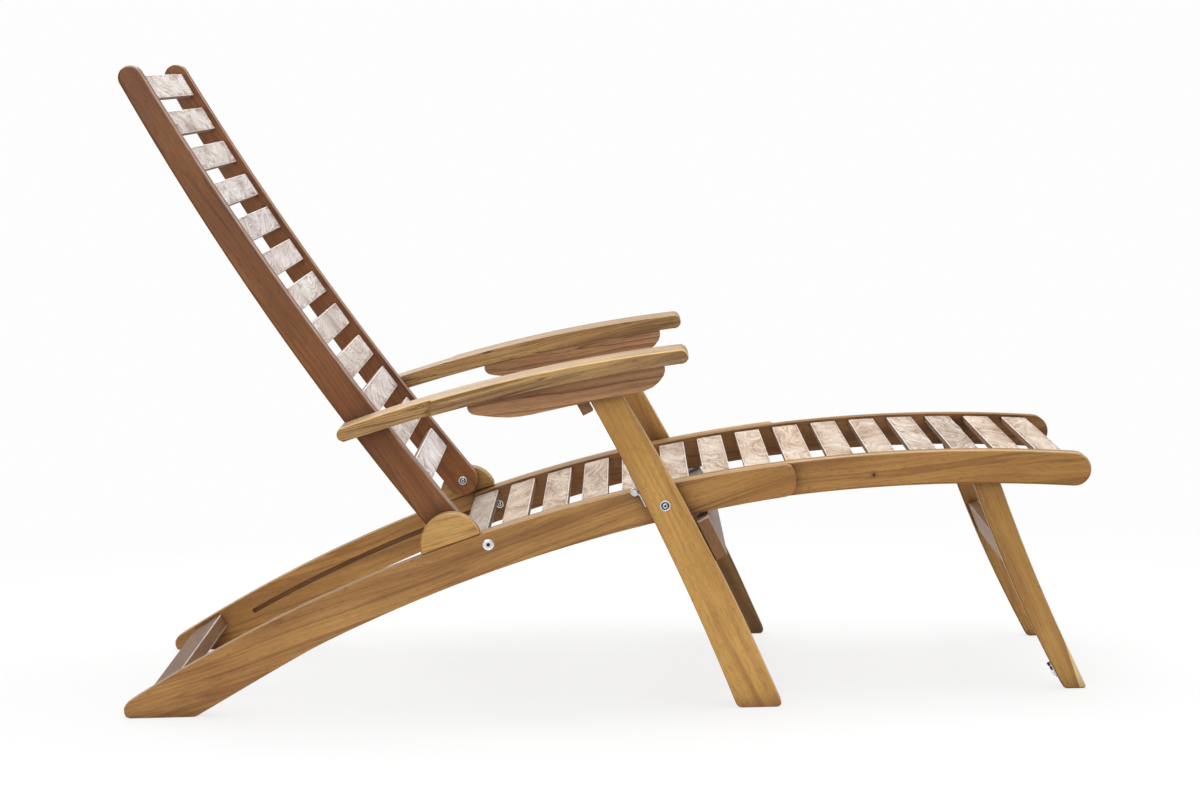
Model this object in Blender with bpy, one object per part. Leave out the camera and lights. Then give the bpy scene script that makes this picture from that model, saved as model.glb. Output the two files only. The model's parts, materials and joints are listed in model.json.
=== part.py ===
"""Folding wooden deck chair with a slide-under seat and footrest frame.

+X points to the footrest, +Y to the sitter's left, +Z up.  The origin is on
the ground at the middle of the chair's length and width.  Side-view points
are (x, z) in millimetres, with x on the drawing datum DATUM_X.
"""
import math
from itertools import accumulate

import bmesh
import bpy
import numpy as np
from mathutils import Vector

MM = 0.001
DATUM_X = 37.53             # drawing datum to mid-length of the open chair
SIDES = (("left", 1.0), ("right", -1.0))

# ---------------------------------------------------------------- dimensions
# side planes, distance from the centre plane (inner face, outer face)
INNER = (202.0, 224.0)      # seat rails and back rails
OUTER = (226.0, 248.0)      # base rails and cheeks
LEG = (250.0, 272.0)        # front legs
APRON_OUT = (274.0, 292.0)  # the two aprons under each arm form a fork
APRON_IN = (227.0, 248.0)   # for the head of the front leg
ARM = (226.0, 310.0)        # arm boards
FOOT = (180.0, 200.0)       # footrest legs
GAP = 0.4                   # play between neighbouring pieces

# the seat line is one circle, seen from the side
SEAT_C, SEAT_R = (490.0, -2080.0), 2457.0
SEAT_RAIL_DEPTH = 52.0
SEAT_FRONT_X = 686.0        # where the rounded front end of the rail begins
SEAT_REAR = -18.04          # rear end of the rail, degrees from the vertical
SEAT_REAR_TOP = (0.14, 5.0)     # top corner cut: degrees forward, mm down
SEAT_REAR_UNDER = (0.2, 46.0)   # lower corner cut: degrees forward, mm below the top

BASE_UNDER_C, BASE_UNDER_R = (555.0, -2119.0), 2455.0

BACK_PIVOT = (-286.0, 282.0)
LEG_PIVOT = (51.0, 310.0)
LINK = (-105.0, 168.0)      # both swinging links of the folding parallelogram
ARM_PIVOT = (LEG_PIVOT[0] + LINK[0], LEG_PIVOT[1] + LINK[1])
TAIL_PIVOT = (BACK_PIVOT[0] + LINK[0], BACK_PIVOT[1] + LINK[1])

CHEEK_C, CHEEK_R = (-278.0, 254.5), 48.0
CHEEK_FRONT, CHEEK_REAR = 63.0, -105.0  # ends of the round, degrees from the vertical

GROOVE_R = 2428.0           # guide groove in the base rails
GROOVE_WIDTH = 8.0
GROOVE_DEPTH = 8.0
GUIDE_ANGLE = -17.10        # guide bolt at rest, degrees from the vertical
GROOVE_TRAVEL = 10.85       # length of the groove, degrees
GUIDE_END_GAP = 1.5         # guide bolt end to the groove floor

SLAT_WIDTH = 42.0
SLAT_THICK = 10.0
SEAT_SLATS = 15
SEAT_PITCH = 65.0
SEAT_FIRST = -17.45         # centre of the rearmost seat slat, degrees
SEAT_RECESS = 4.0
BACK_SLATS = 12
BACK_PITCH = 67.1
BACK_FIRST = 821.0          # pivot to the top slat, along the rail
BACK_RECESS = 8.5

ARM_TOP_C, ARM_TOP_R = (307.0, -1823.0), 2385.0
ARM_UNDER_C, ARM_UNDER_R = (409.0, -2305.0), 2854.0
ARM_REAR_X, ARM_FRONT_X = -434.0, 76.0
COVE = 18.0                 # radius of the shoulder where the arm narrows
COVE_X = -318.0             # rear end of the cove
TAIL_OUT = ARM[1] - COVE    # outer face of the narrower arm tail
RELIEF_REAR_X = -520.0      # the cutter for the tail clears the arm all round
RELIEF_OUT = ARM[1] + 20.0
RELIEF_Z = (360.0, 520.0)

FOOT_PIVOT_DEPTH = 34.3     # below the seat line
FOOT_PIVOT_X = 545.0

# cross boards: size is (width, thickness)
REAR_STRETCHER = (54.6, 22.0)
REAR_STRETCHER_CORNER = (-753.0, 32.0)
REAR_STRETCHER_RUN = (47.0, 28.2)
LEG_STRETCHER = (66.0, 21.0)
LEG_STRETCHER_AT = 0.5245   # middle of the board, as a fraction of the leg
LEG_STRETCHER_GAP = 0.6
LEG_STRETCHER_INSET = 3.0   # board end to the leg's outer face
FOOT_STRETCHER = (50.0, 18.0)
FOOT_STRETCHER_AT = 0.36    # fraction of the leg where the slopes match
FOOT_STRETCHER_CORNER = (568.5, 226.5)

# bolts and bores
BOLT_R = 4.0
SMALL_BOLT_R = 3.0
BOLT_CLEAR = 0.35
BORE_R = BOLT_R + BOLT_CLEAR
SMALL_BORE_R = SMALL_BOLT_R + BOLT_CLEAR
BORE_STEPS = 16
END_GAP = 1.0               # bolt end to the floor of its blind bore
OVERCUT = 3.0               # cutters run this far past a face
GROOVE_OVERCUT = 2.0
SHANK_STEP = 0.01           # axial step from head to shank

# floors of the blind bores, distance from the centre plane
CHEEK_FLOOR = OUTER[1] - 5.0
LEG_FLOOR = OUTER[0] + 4.0
FOOT_FLOOR = INNER[1] - 5.0
TAIL_FLOORS = (INNER[0] + 4.0, ARM[0] + 24.0)
HINGE_FLOORS = (APRON_IN[0] + 5.0, APRON_OUT[0] + 14.0)

# bolt heads, crown to seat: (height above the seat, radius)
BUTTON_HEAD = ((3.4, 3.6), (2.9, 5.4), (1.6, 6.7), (0.0, 7.0))
SMALL_HEAD = ((3.0, 3.4), (2.5, 5.2), (1.4, 6.3), (0.0, 6.5))
DOME_HEAD = ((3.0, 4.4), (2.7, 6.4), (1.5, 7.8), (0.0, 8.3))

WOOD = dict(colour=(0.36, 0.19, 0.065), roughness=0.45)
DARK_WOOD = dict(colour=(0.25, 0.11, 0.045), roughness=0.42)
PALE_WOOD = dict(colour=(0.52, 0.42, 0.33), roughness=0.55)
STEEL = dict(colour=(0.62, 0.64, 0.66), roughness=0.25, metallic=1.0)

WOOD_SHARP = 30             # edges sharper than this stay crisp, degrees
STEEL_SHARP = 40

# ---------------------------------------------------------------- 2-D helpers


def circle_point(centre, radius, angle):
    """Point on a circle; the angle is in degrees from the vertical, clockwise."""
    a = math.radians(angle)
    return (centre[0] + radius * math.sin(a), centre[1] + radius * math.cos(a))


def arc(centre, radius, start, end, steps):
    return [circle_point(centre, radius, start + (end - start) * i / steps)
            for i in range(steps + 1)]


def angle_at_x(centre, radius, x):
    """Angle from the vertical of the upper point of a circle at x."""
    return math.degrees(math.asin((x - centre[0]) / radius))


def arc_at_x(centre, radius, x0, x1, steps, offset=0.0):
    """Upper arc from x0 to x1, then moved radially outward by offset."""
    return arc(centre, radius + offset, angle_at_x(centre, radius, x0),
               angle_at_x(centre, radius, x1), steps)


def left_of(heading):
    return Vector((-heading.y, heading.x))


def rounded(points, radii, steps=5):
    """A closed outline with rounded corners; radii maps corner index to radius."""
    out = []
    for i, point in enumerate(points):
        if i not in radii:
            out.append(point)
            continue
        radius = radii[i]
        corner = Vector(point)
        before = (Vector(points[i - 1]) - corner).normalized()
        after = (Vector(points[(i + 1) % len(points)]) - corner).normalized()
        half = 0.5 * before.angle(after)
        back = radius / math.tan(half)
        centre = corner + (before + after).normalized() * (radius / math.sin(half))
        start = corner + before * back - centre
        end = corner + after * back - centre
        turn = start.angle(end)
        if start.x * end.y - start.y * end.x <= 0:
            turn = -turn
        for k in range(steps + 1):
            cos, sin = math.cos(turn * k / steps), math.sin(turn * k / steps)
            out.append((centre.x + start.x * cos - start.y * sin,
                        centre.y + start.x * sin + start.y * cos))
    return out


def cut_at_ground(edge, clear):
    """Drops points at or below clear, then slides the last one to z = 0."""
    edge = [p for p in edge if p[1] > clear]
    (xa, za), (xb, zb) = edge[-2:]
    return edge[:-1] + [(xa - (xb - xa) * za / (zb - za), 0.0)]


class BowedBar:
    """A bar on a parabolic centreline, with t running from 0 to 1 along it.

    bow is to the left of travel; half_width holds the coefficients of
    1, t and t squared.
    """

    def __init__(self, start, end, bow, half_width):
        self.start = Vector(start)
        self.run = Vector(end) - self.start
        self.left = left_of(self.run).normalized()
        self.bow = bow
        self.half_width = half_width

    def at(self, t):
        return self.start + self.run * t + self.left * (4.0 * self.bow * t * (1.0 - t))

    def heading(self, t):
        return (self.run + self.left * (4.0 * self.bow * (1.0 - 2.0 * t))).normalized()

    def half(self, t):
        constant, linear, square = self.half_width
        return constant + linear * t + square * t * t

    def edge(self, t, side):
        """Point on the left (side 1) or right (side -1) edge."""
        return self.at(t) + left_of(self.heading(t)) * (side * self.half(t))

    def edges(self, steps):
        """Left and right edges as point lists."""
        return [[self.edge(i / steps, side) for i in range(steps + 1)]
                for side in (1, -1)]

    def round_end(self, t, side, steps=12):
        """Inner points of the half circle closing an end, begun on one side."""
        centre, heading, radius = self.at(t), self.heading(t), self.half(t)
        outward = heading if t == 1.0 else -heading
        across = left_of(heading) * side
        out = []
        for k in range(1, steps):
            a = math.pi * k / steps
            out.append(centre + across * (radius * math.cos(a))
                       + outward * (radius * math.sin(a)))
        return out


# ---------------------------------------------------------------- 3-D helpers


def to_scene(x, y, z):
    return ((x + DATUM_X) * MM, y * MM, z * MM)


def add_loft(bm, rings):
    """A closed solid through rings of (x, y, z) points, capped at both ends."""
    rings = [[bm.verts.new(to_scene(*p)) for p in ring] for ring in rings]
    bm.faces.new(rings[0])
    bm.faces.new(rings[-1][::-1])
    for a, b in zip(rings, rings[1:]):
        for i in range(len(a)):
            j = (i + 1) % len(a)
            bm.faces.new((a[j], a[i], b[i], b[j]))


def add_prism(bm, outline, y0, y1):
    """A side-view outline extruded between two Y planes."""
    area = sum(a[0] * b[1] - b[0] * a[1]
               for a, b in zip(outline, outline[1:] + outline[:1]))
    ring = outline if area > 0 else outline[::-1]
    add_loft(bm, [[(x, y, z) for x, z in ring] for y in sorted((y0, y1))])


def add_lathe(bm, point, profile, steps):
    """A turned solid about a Y line; profile is (y, radius) end to end."""
    if profile[0][0] > profile[-1][0]:
        profile = profile[::-1]
    turns = [2 * math.pi * i / steps for i in range(steps)]
    add_loft(bm, [[(point[0] + r * math.cos(a), y, point[1] + r * math.sin(a))
                   for a in turns] for y, r in profile])


def material(name, colour, roughness, metallic=0.0):
    mat = bpy.data.materials.new(name)
    mat.use_nodes = True
    bsdf = mat.node_tree.nodes["Principled BSDF"]
    bsdf.inputs["Base Color"].default_value = (*colour, 1.0)
    bsdf.inputs["Roughness"].default_value = roughness
    bsdf.inputs["Metallic"].default_value = metallic
    mat.diffuse_color = (*colour, 1.0)
    return mat


def add_axis(name, point):
    """An empty on a joint's axis; the pieces that turn on it are its children."""
    ob = bpy.data.objects.new(name, None)
    ob.location = to_scene(point[0], 0.0, point[1])
    bpy.context.collection.objects.link(ob)
    return ob


def add_object(name, bm, parent):
    """Turns the bmesh into an object whose origin is its parent's axis."""
    bmesh.ops.recalc_face_normals(bm, faces=bm.faces)
    if parent:
        bmesh.ops.translate(bm, verts=bm.verts, vec=-AXES[parent].location)
    mesh = bpy.data.meshes.new(name)
    bm.to_mesh(mesh)
    bm.free()
    ob = bpy.data.objects.new(name, mesh)
    bpy.context.collection.objects.link(ob)
    if parent:
        ob.parent = AXES[parent]
    return ob


def add_piece(name, bm, look, parent=None, sharp=None, cutter=None):
    ob = add_object(name, bm, parent)
    ob.data.materials.append(material(name + "_finish", **look))
    if sharp:
        ob.data.shade_smooth()
        ob.data.set_sharp_from_angle(angle=math.radians(sharp))
    if cutter:
        mod = ob.modifiers.new("bores", "BOOLEAN")
        mod.operation = "DIFFERENCE"
        mod.solver = "EXACT"
        mod.object = cutter


def add_cutter(name, sign, bores, parent=None, bm=None):
    """Hidden cutter; bores are (point, y0, y1, radius), added to bm if given."""
    bm = bm or bmesh.new()
    for point, y0, y1, radius in bores:
        add_lathe(bm, point, [(sign * y0, radius), (sign * y1, radius)], BORE_STEPS)
    ob = add_object(name, bm, parent)
    ob.hide_render = True
    ob.display_type = "WIRE"
    return ob


def through(point, span, radius=BORE_R):
    """A bore right through a board."""
    return (point, span[0] - OVERCUT, span[1] + OVERCUT, radius)


def add_board(name, sign, outline, span, cutter, parent=None, look=WOOD):
    """A board standing in one of the side planes."""
    bm = bmesh.new()
    add_prism(bm, outline, sign * span[0], sign * span[1])
    add_piece(name, bm, look, parent, WOOD_SHARP, cutter)


def add_cross_board(name, corner, along, size, half_span, look, parent=None):
    """A board across the chair, seen from the side as a rectangle.

    size is (width along the heading, thickness to its left); a negative
    thickness is to the right.
    """
    width = along * size[0]
    thick = left_of(along) * size[1]
    corner = Vector(corner)
    bm = bmesh.new()
    add_prism(bm, [corner, corner + width, corner + width + thick, corner + thick],
              -half_span, half_span)
    add_piece(name, bm, look, parent)


def add_slat(name, centre, along, parent):
    """A slat with its upper face to the left of along."""
    corner = (Vector(centre) - along * (SLAT_WIDTH / 2)
              - left_of(along) * (SLAT_THICK / 2))
    add_cross_board(name, corner, along, (SLAT_WIDTH, SLAT_THICK), INNER[0] - GAP,
                    PALE_WOOD, parent)


def add_steel(name, sign, point, profile, parent):
    bm = bmesh.new()
    add_lathe(bm, point, [(sign * y, r) for y, r in profile], 20)
    add_piece(name, bm, STEEL, parent, STEEL_SHARP)


def add_bolt(name, sign, point, head, radius, seat_y, end_y, parent=None):
    """A headed bolt; the head rises from seat_y, away from end_y."""
    out = 1.0 if seat_y > end_y else -1.0
    profile = [(seat_y + out * height, r) for height, r in head]
    profile += [(seat_y - out * SHANK_STEP, radius), (end_y, radius)]
    add_steel(name, sign, point, profile, parent)


def add_pin(name, sign, point, floors, parent):
    """A plain pin between the floors of two blind bores."""
    add_steel(name, sign, point,
              [(floors[0] + END_GAP, BOLT_R), (floors[1] - END_GAP, BOLT_R)], parent)


# ---------------------------------------------------------------- outlines
GUIDE = circle_point(SEAT_C, GROOVE_R, GUIDE_ANGLE)
FOOT_PIVOT_R = SEAT_R - FOOT_PIVOT_DEPTH
FOOT_PIVOT = circle_point(SEAT_C, FOOT_PIVOT_R,
                          angle_at_x(SEAT_C, FOOT_PIVOT_R, FOOT_PIVOT_X))

BACK_BAR = BowedBar(BACK_PIVOT, (-757.5, 981.5), bow=17.0, half_width=(25.5, -1.0, -5.8))
LEG_BAR = BowedBar((-47.0, 497.0), (188.5, 0.0), bow=10.2, half_width=(22.8, 12.0, -2.3))
FOOT_BAR = BowedBar(FOOT_PIVOT, (681.5, 0.0), bow=-7.2, half_width=(19.5, 1.2, -4.8))

# base rail: front end, then the rear foot from its front underside; (x, z)
BASE_NOSE = [
    (246.5, 361.2), (251.0, 354.0), (252.6, 345.0), (252.4, 334.0),
    (249.8, 324.0), (244.6, 317.6)]
BASE_TAIL = [
    (-500.0, 97.2), (-530.0, 81.0), (-562.0, 63.6),
    (-673.0, 1.6), (-677.5, 0.2), (-682.0, 0.0), (-775.5, 0.0),
    (-782.0, 2.2), (-784.7, 8.0), (-784.9, 16.0), (-781.4, 21.8),
    (-773.5, 27.2)]

# arm: bull-nosed front and round tail; (x, z)
ARM_NOSE = [
    (82.5, 551.2), (88.0, 548.0), (91.2, 542.5), (91.0, 537.0),
    (87.6, 532.4), (82.5, 529.8)]
ARM_TAIL = [
    (-440.2, 423.8), (-443.6, 427.6), (-444.8, 432.4), (-443.6, 437.6),
    (-439.6, 442.0)]

# apron: lower edge from front to rear; (x, z)
APRON_UNDER = [
    (55.6, 518.0), (53.0, 510.0), (46.0, 501.0), (36.0, 493.0),
    (24.0, 488.0), (8.0, 484.6), (-26.0, 479.0), (-60.0, 473.0),
    (-96.0, 466.6), (-124.0, 461.0), (-148.0, 456.2), (-166.0, 453.6),
    (-184.0, 452.6), (-206.0, 453.8), (-232.0, 457.2), (-239.0, 459.0),
    (-243.4, 462.4), (-245.6, 466.8)]


def base_rail_outline():
    """Arched board from the rear foot to the front end."""
    return (arc_at_x(SEAT_C, SEAT_R, -764.0, 238.0, 34) + BASE_NOSE
            + arc_at_x(BASE_UNDER_C, BASE_UNDER_R, 236.0, -470.0, 24) + BASE_TAIL)


def cheek_outline():
    """Half disc that stands on the base rail."""
    return (arc(CHEEK_C, CHEEK_R, CHEEK_FRONT, CHEEK_REAR, 18)
            + arc_at_x(SEAT_C, SEAT_R, -323.0, -233.5, 6, offset=GAP))


def groove_outline():
    """Curved slot with round ends."""
    half = GROOVE_WIDTH / 2
    rear, front = GUIDE_ANGLE - GROOVE_TRAVEL, GUIDE_ANGLE
    rear_centre = circle_point(SEAT_C, GROOVE_R, rear)
    return (arc(SEAT_C, GROOVE_R + half, rear, front, 16)
            + arc(GUIDE, half, front, front + 180.0, 8)[1:-1]
            + arc(SEAT_C, GROOVE_R - half, front, rear, 16)
            + arc(rear_centre, half, rear - 180.0, rear, 8)[1:-1])


def seat_rail_outline():
    """One curve through seat and footrest, round at the front."""
    front = angle_at_x(SEAT_C, SEAT_R, SEAT_FRONT_X)
    half = SEAT_RAIL_DEPTH / 2
    tip = circle_point(SEAT_C, SEAT_R - half, front)
    top_turn, top_drop = SEAT_REAR_TOP
    under_turn, under_drop = SEAT_REAR_UNDER
    return (arc(SEAT_C, SEAT_R, SEAT_REAR + top_turn, front, 32)
            + arc(tip, half, front, front + 180.0, 12)[1:-1]
            + arc(SEAT_C, SEAT_R - SEAT_RAIL_DEPTH, front, SEAT_REAR + under_turn, 32)
            + [circle_point(SEAT_C, SEAT_R - under_drop, SEAT_REAR),
               circle_point(SEAT_C, SEAT_R - top_drop, SEAT_REAR)])


def back_rail_outline():
    """Bowed board, round at both ends."""
    left, right = BACK_BAR.edges(16)
    return (right + BACK_BAR.round_end(1.0, side=-1)
            + left[::-1] + BACK_BAR.round_end(0.0, side=1))


def front_leg_outline():
    """Bowed board, wider at the foot, its sole level with the ground."""
    front, rear = (cut_at_ground(edge, 14.0) for edge in LEG_BAR.edges(12))
    outline = front + rear[::-1]
    sole = len(front)
    return rounded(outline, {0: 10.0, sole - 1: 7.0, sole: 11.0,
                             len(outline) - 1: 14.0})


def foot_leg_outline():
    """Bowed board with a round top, narrower at the foot."""
    front, rear = (cut_at_ground(edge, 9.0) for edge in FOOT_BAR.edges(12))
    sole = len(front)
    return rounded(front + rear[::-1] + FOOT_BAR.round_end(0.0, side=-1),
                   {sole - 1: 3.5, sole: 9.0})


def arm_outline():
    """Arched board."""
    return (arc_at_x(ARM_TOP_C, ARM_TOP_R, ARM_REAR_X, ARM_FRONT_X, 20) + ARM_NOSE
            + arc_at_x(ARM_UNDER_C, ARM_UNDER_R, ARM_FRONT_X, ARM_REAR_X, 20) + ARM_TAIL)


def apron_outline():
    """Lens-shaped board that follows the underside of the arm."""
    return (arc_at_x(ARM_UNDER_C, ARM_UNDER_R, -246.0, 55.0, 12, offset=-GAP)
            + APRON_UNDER)


# ---------------------------------------------------------------- side pieces


def build_base(side, sign):
    bm = bmesh.new()
    add_prism(bm, groove_outline(), sign * (OUTER[0] - GROOVE_OVERCUT),
              sign * (OUTER[0] + GROOVE_DEPTH))
    cutter = add_cutter("base_rail_bores_" + side, sign,
                        [(LEG_PIVOT, OUTER[1] + OVERCUT, LEG_FLOOR, BORE_R)], bm=bm)
    add_board("base_rail_" + side, sign, base_rail_outline(), OUTER, cutter)

    cutter = add_cutter("cheek_bore_" + side, sign,
                        [(BACK_PIVOT, OUTER[0] - OVERCUT, CHEEK_FLOOR, BORE_R)])
    add_board("cheek_" + side, sign, cheek_outline(), OUTER, cutter)

    # head inside the back rail, end in the cheek
    add_bolt("back_pivot_bolt_" + side, sign, BACK_PIVOT, BUTTON_HEAD, BOLT_R,
             INNER[0] - GAP, CHEEK_FLOOR - END_GAP)
    # head outside the leg, end in the base rail
    add_bolt("leg_pivot_bolt_" + side, sign, LEG_PIVOT, DOME_HEAD, BOLT_R,
             LEG[1] + GAP, LEG_FLOOR + END_GAP)


def build_back_rail(side, sign):
    cutter = add_cutter(
        "back_rail_bores_" + side, sign,
        [through(BACK_PIVOT, INNER),
         (TAIL_PIVOT, TAIL_FLOORS[0], INNER[1] + OVERCUT, BORE_R)], "back_axis")
    add_board("back_rail_" + side, sign, back_rail_outline(), INNER, cutter,
              "back_axis", DARK_WOOD)


def build_seat_rail(side, sign):
    cutter = add_cutter(
        "seat_rail_bores_" + side, sign,
        [through(GUIDE, INNER, SMALL_BORE_R),
         (FOOT_PIVOT, INNER[0] - OVERCUT, FOOT_FLOOR, SMALL_BORE_R)],
        "seat_arc_centre")
    add_board("seat_rail_" + side, sign, seat_rail_outline(), INNER, cutter,
              "seat_arc_centre")
    # head inside the seat rail, plain end riding in the groove
    add_bolt("guide_bolt_" + side, sign, GUIDE, SMALL_HEAD, SMALL_BOLT_R,
             INNER[0] - GAP, OUTER[0] + GROOVE_DEPTH - GUIDE_END_GAP,
             "seat_arc_centre")


def build_front_leg(side, sign):
    cutter = add_cutter("front_leg_bores_" + side, sign,
                        [through(LEG_PIVOT, LEG), through(ARM_PIVOT, LEG)],
                        "front_leg_axis")
    add_board("front_leg_" + side, sign, front_leg_outline(), LEG, cutter,
              "front_leg_axis")


def build_arm(side, sign):
    # relief that narrows the tail, with a coved shoulder; plan is (x, y)
    plan = [(RELIEF_REAR_X, TAIL_OUT)]
    for k in range(9):
        a = math.radians(90.0 * k / 8)
        plan.append((COVE_X + COVE * math.sin(a), TAIL_OUT + COVE * (1.0 - math.cos(a))))
    plan += [(COVE_X + COVE, RELIEF_OUT), (RELIEF_REAR_X, RELIEF_OUT)]
    bm = bmesh.new()
    add_loft(bm, [[(x, sign * y, z) for x, y in plan] for z in RELIEF_Z])
    cutter = add_cutter("arm_relief_" + side, sign,
                        [(TAIL_PIVOT, ARM[0] - OVERCUT, TAIL_FLOORS[1], BORE_R)],
                        "arm_axis", bm)
    add_board("arm_" + side, sign, arm_outline(), ARM, cutter, "arm_axis")

    for which, span, y0, y1 in (
            ("outer", APRON_OUT, APRON_OUT[0] - OVERCUT, HINGE_FLOORS[1]),
            ("inner", APRON_IN, HINGE_FLOORS[0], APRON_IN[1] + OVERCUT)):
        cutter = add_cutter("apron_bore_%s_%s" % (which, side), sign,
                            [(ARM_PIVOT, y0, y1, BORE_R)], "arm_axis")
        add_board("arm_apron_%s_%s" % (which, side), sign, apron_outline(), span,
                  cutter, "arm_axis")

    # one pin through the fork and the leg's head, one from back rail to arm tail
    add_pin("arm_hinge_pin_" + side, sign, ARM_PIVOT, HINGE_FLOORS, "arm_axis")
    add_pin("arm_tail_pin_" + side, sign, TAIL_PIVOT, TAIL_FLOORS, "arm_axis")


def build_foot_leg(side, sign):
    cutter = add_cutter("footrest_leg_bore_" + side, sign,
                        [through(FOOT_PIVOT, FOOT, SMALL_BORE_R)], "footrest_leg_axis")
    add_board("footrest_leg_" + side, sign, foot_leg_outline(), FOOT, cutter,
              "footrest_leg_axis")
    # head inside the footrest leg, end in the seat rail
    add_bolt("footrest_pivot_bolt_" + side, sign, FOOT_PIVOT, SMALL_HEAD, SMALL_BOLT_R,
             FOOT[0] - GAP, FOOT_FLOOR - END_GAP, "footrest_leg_axis")


# ---------------------------------------------------------------- cross pieces


def build_back_slats():
    """Back slats, counted from the top and spaced along the rail's curve."""
    fractions = [i / 200 for i in range(201)]
    points = [BACK_BAR.at(t) for t in fractions]
    lengths = list(accumulate(((b - a).length for a, b in zip(points, points[1:])),
                              initial=0.0))
    for k in range(BACK_SLATS):
        t = float(np.interp(BACK_FIRST - BACK_PITCH * k, lengths, fractions))
        down = -BACK_BAR.heading(t)
        depth = BACK_BAR.half(t) - BACK_RECESS - SLAT_THICK / 2
        add_slat("back_slat_%02d" % (k + 1), BACK_BAR.at(t) + left_of(down) * depth,
                 down, "back_axis")


def build_seat_slats():
    """Seat slats, counted from the rear."""
    for k in range(SEAT_SLATS):
        angle = SEAT_FIRST + math.degrees(SEAT_PITCH / SEAT_R) * k
        centre = circle_point(SEAT_C, SEAT_R - SEAT_RECESS - SLAT_THICK / 2, angle)
        a = math.radians(angle)
        add_slat("seat_slat_%02d" % (k + 1), centre,
                 Vector((math.cos(a), -math.sin(a))), "seat_arc_centre")


def build_rear_stretcher():
    """Flat board between the rear feet, its thickness below the corner line."""
    width, thick = REAR_STRETCHER
    add_cross_board("rear_stretcher", REAR_STRETCHER_CORNER,
                    Vector(REAR_STRETCHER_RUN).normalized(), (width, -thick),
                    OUTER[0] - GAP, PALE_WOOD)


def build_leg_stretcher():
    """Board on the front edges of the front legs, just under the rails."""
    down = LEG_BAR.heading(LEG_STRETCHER_AT)
    corner = (LEG_BAR.edge(LEG_STRETCHER_AT, 1) + left_of(down) * LEG_STRETCHER_GAP
              - down * (LEG_STRETCHER[0] / 2))
    add_cross_board("front_leg_stretcher", corner, down, LEG_STRETCHER,
                    LEG[1] - LEG_STRETCHER_INSET, WOOD, "front_leg_axis")


def build_foot_stretcher():
    """Board let in between the footrest legs."""
    add_cross_board("footrest_stretcher", FOOT_STRETCHER_CORNER,
                    FOOT_BAR.heading(FOOT_STRETCHER_AT), FOOT_STRETCHER,
                    FOOT[0] - GAP, PALE_WOOD, "footrest_leg_axis")


# ---------------------------------------------------------------- build
for ob in list(bpy.data.objects):
    bpy.data.objects.remove(ob, do_unlink=True)

AXES = {name: add_axis(name, point) for name, point in (
    ("back_axis", BACK_PIVOT),
    ("front_leg_axis", LEG_PIVOT),
    ("arm_axis", ARM_PIVOT),
    ("seat_arc_centre", SEAT_C),
    ("footrest_leg_axis", FOOT_PIVOT))}

for side_name, y_sign in SIDES:
    for build_side in (build_base, build_back_rail, build_seat_rail,
                       build_front_leg, build_arm, build_foot_leg):
        build_side(side_name, y_sign)

build_back_slats()
build_seat_slats()
build_rear_stretcher()
build_leg_stretcher()
build_foot_stretcher()
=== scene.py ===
import json
import math

import bmesh
import bpy
from mathutils import Matrix, Vector

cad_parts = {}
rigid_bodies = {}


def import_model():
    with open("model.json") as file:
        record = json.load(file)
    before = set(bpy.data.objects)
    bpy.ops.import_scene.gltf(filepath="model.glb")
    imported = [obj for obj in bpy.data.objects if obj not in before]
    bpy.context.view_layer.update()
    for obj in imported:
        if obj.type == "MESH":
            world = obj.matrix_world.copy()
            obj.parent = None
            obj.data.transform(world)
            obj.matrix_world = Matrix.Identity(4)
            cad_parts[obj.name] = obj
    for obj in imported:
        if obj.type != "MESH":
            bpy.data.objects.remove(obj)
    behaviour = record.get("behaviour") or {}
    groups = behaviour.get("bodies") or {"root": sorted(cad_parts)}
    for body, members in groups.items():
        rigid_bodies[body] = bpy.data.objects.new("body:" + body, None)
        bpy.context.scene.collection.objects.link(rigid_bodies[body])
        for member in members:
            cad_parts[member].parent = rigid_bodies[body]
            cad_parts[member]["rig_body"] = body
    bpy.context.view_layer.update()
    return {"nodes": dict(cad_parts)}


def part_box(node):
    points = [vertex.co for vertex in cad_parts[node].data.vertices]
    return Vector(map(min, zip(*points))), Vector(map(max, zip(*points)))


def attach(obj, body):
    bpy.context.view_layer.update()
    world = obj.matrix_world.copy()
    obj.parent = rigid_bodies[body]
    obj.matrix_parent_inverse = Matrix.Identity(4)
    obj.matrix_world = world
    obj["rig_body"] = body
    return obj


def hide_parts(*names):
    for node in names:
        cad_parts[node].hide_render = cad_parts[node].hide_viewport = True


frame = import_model()
NODES = frame["nodes"]
SCENE = bpy.context.scene


def lin(r, g, b):
    """8-bit display colour to linear."""
    out = []
    for c in (r, g, b):
        c = c / 255.0
        out.append(c / 12.92 if c <= 0.04045 else ((c + 0.055) / 1.055) ** 2.4)
    return tuple(out)


def seed_of(name):
    """A fixed number in 0..1 for each piece."""
    h = 2166136261
    for ch in name:
        h = ((h ^ ord(ch)) * 16777619) & 0xFFFFFFFF
    h ^= h >> 13
    h = (h * 0x5BD1E995) & 0xFFFFFFFF
    h ^= h >> 15
    return (h % 100003) / 100003.0


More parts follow.
